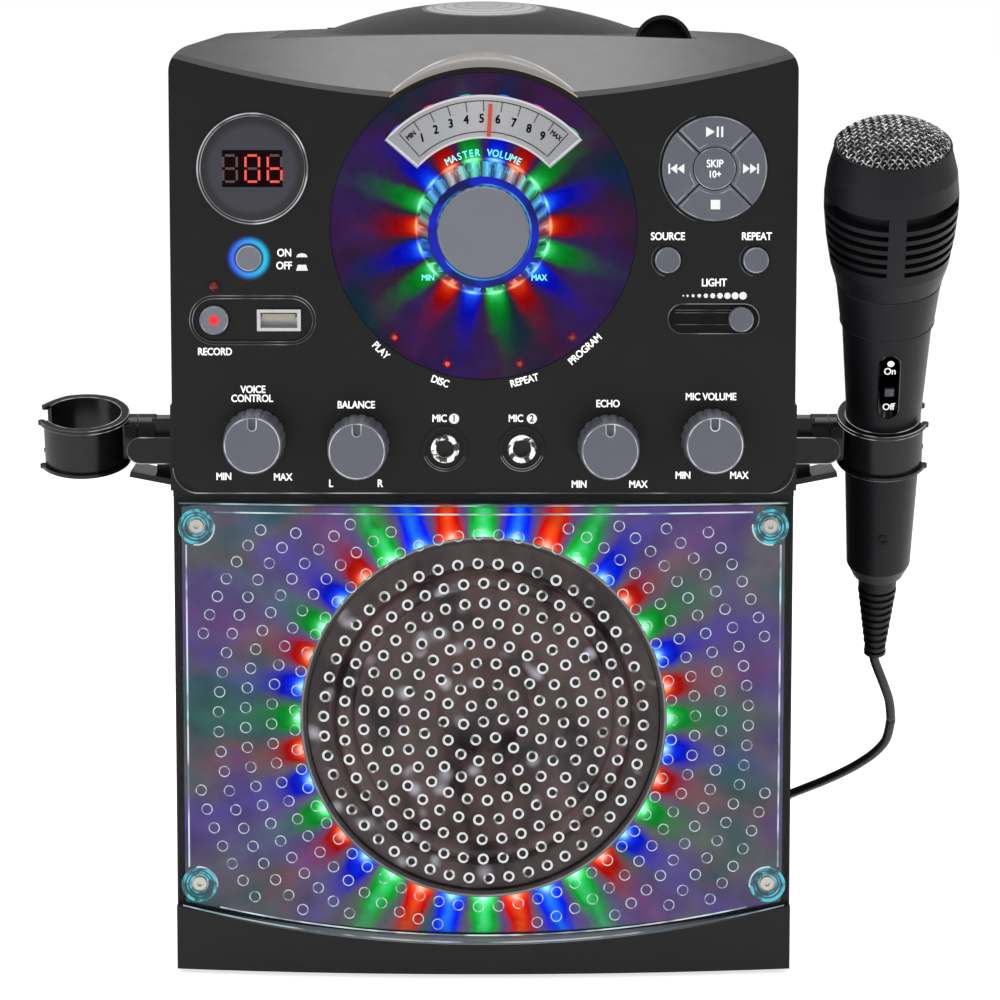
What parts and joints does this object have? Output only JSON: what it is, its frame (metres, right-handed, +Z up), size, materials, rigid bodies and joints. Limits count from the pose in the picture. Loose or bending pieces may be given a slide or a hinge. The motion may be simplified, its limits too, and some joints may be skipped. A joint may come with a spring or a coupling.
{
  "type": "karaoke machine",
  "caption": "Upright karaoke machine with a flip-up disc lid, loudspeaker behind a clear cover, round volume dial, side clips and a corded microphone",
  "frame": {"origin": "centre of the base, under the middle of the machine with its clips and microphone", "axes": "+X to the viewer's right as seen from the front, +Y towards the back, +Z up"},
  "size_m": [0.319, 0.3015, 0.336],
  "materials": {
    "shell": "satin black moulded plastic",
    "panel": "gloss black front panel",
    "clear_cover": "clear cover over a lit purple background",
    "dial_lens": "tinted clear dial lens",
    "display_lens": "dark red display window",
    "window": "clear lid window",
    "skirt": "clear fluted ring",
    "silver": "silver scale plate",
    "chrome": "plated",
    "steel": "plain steel",
    "basket": "black stamped steel",
    "cone": "black cone and surround",
    "lamps": "lamps and their collar",
    "red_lamps": "red lamps",
    "pointer": "red pointer",
    "knob_face": "satin grey cap",
    "knob": "black knob",
    "key": "dark grey key",
    "power_key": "lit blue button",
    "board": "green circuit board",
    "module": "red digit module",
    "transformer": "transformer laminations and winding",
    "sockets": "socket plate",
    "pots": "potentiometers",
    "rubber": "rubber feet",
    "clip": "black clip",
    "mic_body": "satin black handle",
    "mic_head": "dark head with woven mesh",
    "switch": "slide switch",
    "boot": "rubber boot",
    "cord": "black cord",
    "gear": "natural white gear",
    "sled": "black sled"
  },
  "bodies": {
    "cabinet": {"front_panel": "panel", "front_shell": "shell", "rear_shell": "shell", "disc_well": "shell", "feet": "rubber", "clear_cover": "clear_cover", "cover_screws": "steel", "speaker_basket": "basket", "speaker_cone": "cone", "speaker_lamp_ring": "lamps", "dial_lens": "dial_lens", "scale_plate": "silver", "dial_lamp_board": "lamps", "status_lamps": "red_lamps", "display_lens": "display_lens", "display_bezel": "chrome", "display_module": "module", "usb_socket": "steel", "mic_sockets": "chrome", "potentiometers": "pots", "control_board": "board", "main_board": "board", "transformer": "transformer", "rear_sockets": "sockets", "rear_screws": "steel", "clip_bracket_left": "clip", "clip_bracket_right": "clip", "disc_chassis": "steel", "cord_upper": "cord", "cord_lower": "cord", "cord_coil": "cord", "cord_plug": "chrome"},
    "lid": {"disc_lid": "shell", "lid_window": "window"},
    "volume": {"volume_knob": "knob_face", "volume_skirt": "skirt"},
    "pointer": {"volume_pointer": "pointer"},
    "knob_voice": {"knob_voice": "knob"},
    "knob_balance": {"knob_balance": "knob"},
    "knob_echo": {"knob_echo": "knob"},
    "knob_microphone": {"knob_microphone": "knob"},
    "key_play": {"key_play": "key"},
    "key_previous": {"key_previous": "key"},
    "key_next": {"key_next": "key"},
    "key_stop": {"key_stop": "key"},
    "key_skip": {"key_skip": "key"},
    "button_source": {"button_source": "key"},
    "button_repeat": {"button_repeat": "key"},
    "button_record": {"button_record": "key"},
    "button_power": {"button_power": "power_key"},
    "lamp_slider": {"lamp_slider": "knob"},
    "clip_left": {"clip_left": "clip"},
    "clip_right": {"clip_right": "clip"},
    "mic": {"mic_handle": "mic_body", "mic_head": "mic_head", "mic_boot": "boot"},
    "mic_switch": {"mic_switch": "switch"},
    "disc_hub": {"disc_hub": "knob"},
    "laser_sled": {"laser_sled": "sled"},
    "feed_gear": {"feed_gear": "gear"}
  },
  "joints": [
    {"name": "lid_hinge", "type": "hinge", "parent": "cabinet", "child": "lid", "pos_m": [-0.00287, 0.1005, 0.3219], "axis": [-1, 0, 0], "range_deg": [0, 75]},
    {"name": "volume_turn", "type": "hinge", "parent": "cabinet", "child": "volume", "pos_m": [-0.00287, -0.0835, 0.261], "axis": [0, 1, 0], "range_deg": [-140, 140]},
    {"name": "pointer_turn", "type": "hinge", "parent": "cabinet", "child": "pointer", "pos_m": [-0.00287, -0.0835, 0.261], "axis": [0, 1, 0], "range_deg": [-42.5, 42.5]},
    {"name": "knob_voice_turn", "type": "hinge", "parent": "cabinet", "child": "knob_voice", "pos_m": [-0.08138, -0.0835, 0.188], "axis": [0, 1, 0], "range_deg": [-140, 140]},
    {"name": "knob_balance_turn", "type": "hinge", "parent": "cabinet", "child": "knob_balance", "pos_m": [-0.04587, -0.0835, 0.186], "axis": [0, 1, 0], "range_deg": [-140, 140]},
    {"name": "knob_echo_turn", "type": "hinge", "parent": "cabinet", "child": "knob_echo", "pos_m": [0.04013, -0.0835, 0.186], "axis": [0, 1, 0], "range_deg": [-140, 140]},
    {"name": "knob_microphone_turn", "type": "hinge", "parent": "cabinet", "child": "knob_microphone", "pos_m": [0.07562, -0.0835, 0.188], "axis": [0, 1, 0], "range_deg": [-140, 140]},
    {"name": "key_play_press", "type": "slide", "parent": "cabinet", "child": "key_play", "axis": [0, 1, 0], "range_m": [0, 0.0007], "stiffness_N_per_m": 800, "springref_m": -0.0004},
    {"name": "key_previous_press", "type": "slide", "parent": "cabinet", "child": "key_previous", "axis": [0, 1, 0], "range_m": [0, 0.0007], "stiffness_N_per_m": 800, "springref_m": -0.0004},
    {"name": "key_next_press", "type": "slide", "parent": "cabinet", "child": "key_next", "axis": [0, 1, 0], "range_m": [0, 0.0007], "stiffness_N_per_m": 800, "springref_m": -0.0004},
    {"name": "key_stop_press", "type": "slide", "parent": "cabinet", "child": "key_stop", "axis": [0, 1, 0], "range_m": [0, 0.0007], "stiffness_N_per_m": 800, "springref_m": -0.0004},
    {"name": "key_skip_press", "type": "slide", "parent": "cabinet", "child": "key_skip", "axis": [0, 1, 0], "range_m": [0, 0.0007], "stiffness_N_per_m": 800, "springref_m": -0.0004},
    {"name": "button_source_press", "type": "slide", "parent": "cabinet", "child": "button_source", "axis": [0, 1, 0], "range_m": [0, 0.0007], "stiffness_N_per_m": 800, "springref_m": -0.0004},
    {"name": "button_repeat_press", "type": "slide", "parent": "cabinet", "child": "button_repeat", "axis": [0, 1, 0], "range_m": [0, 0.0007], "stiffness_N_per_m": 800, "springref_m": -0.0004},
    {"name": "button_record_press", "type": "slide", "parent": "cabinet", "child": "button_record", "axis": [0, 1, 0], "range_m": [0, 0.0007], "stiffness_N_per_m": 800, "springref_m": -0.0004},
    {"name": "button_power_press", "type": "slide", "parent": "cabinet", "child": "button_power", "axis": [0, 1, 0], "range_m": [0, 0.0007], "stiffness_N_per_m": 800, "springref_m": -0.0004},
    {"name": "lamp_slider_slide", "type": "slide", "parent": "cabinet", "child": "lamp_slider", "axis": [1, 0, 0], "range_m": [-0.02, 0.0015]},
    {"name": "clip_left_tilt", "type": "hinge", "parent": "cabinet", "child": "clip_left", "pos_m": [-0.14417, -0.0415, 0.184], "axis": [1, 0, 0], "range_deg": [-20, 20]},
    {"name": "clip_right_tilt", "type": "hinge", "parent": "cabinet", "child": "clip_right", "pos_m": [0.13842, -0.0415, 0.184], "axis": [1, 0, 0], "range_deg": [-20, 20]},
    {"name": "mic_draw", "type": "slide", "parent": "clip_right", "child": "mic", "axis": [-0.0207, -0.4067, 0.9133], "range_m": [0, 0.09]},
    {"name": "mic_switch_slide", "type": "slide", "parent": "mic", "child": "mic_switch", "axis": [-0.0207, -0.4067, 0.9133], "range_m": [0, 0.003]},
    {"name": "disc_spin", "type": "hinge", "parent": "cabinet", "child": "disc_hub", "pos_m": [-0.00287, 0.0225, 0.3], "axis": [0, 0, 1], "continuous": true},
    {"name": "sled_slide", "type": "slide", "parent": "cabinet", "child": "laser_sled", "axis": [0, -1, 0], "range_m": [0, 0.034]},
    {"name": "feed_gear_turn", "type": "hinge", "parent": "cabinet", "child": "feed_gear", "pos_m": [0.03193, -0.0015, 0.298], "axis": [0, 0, 1], "range_deg": [-2, 328]}
  ],
  "couplings": [
    {"joint": "pointer_turn", "follows": "volume_turn", "ratio": 0.3},
    {"joint": "feed_gear_turn", "follows": "sled_slide", "rad_per_m": 166.67}
  ]
}
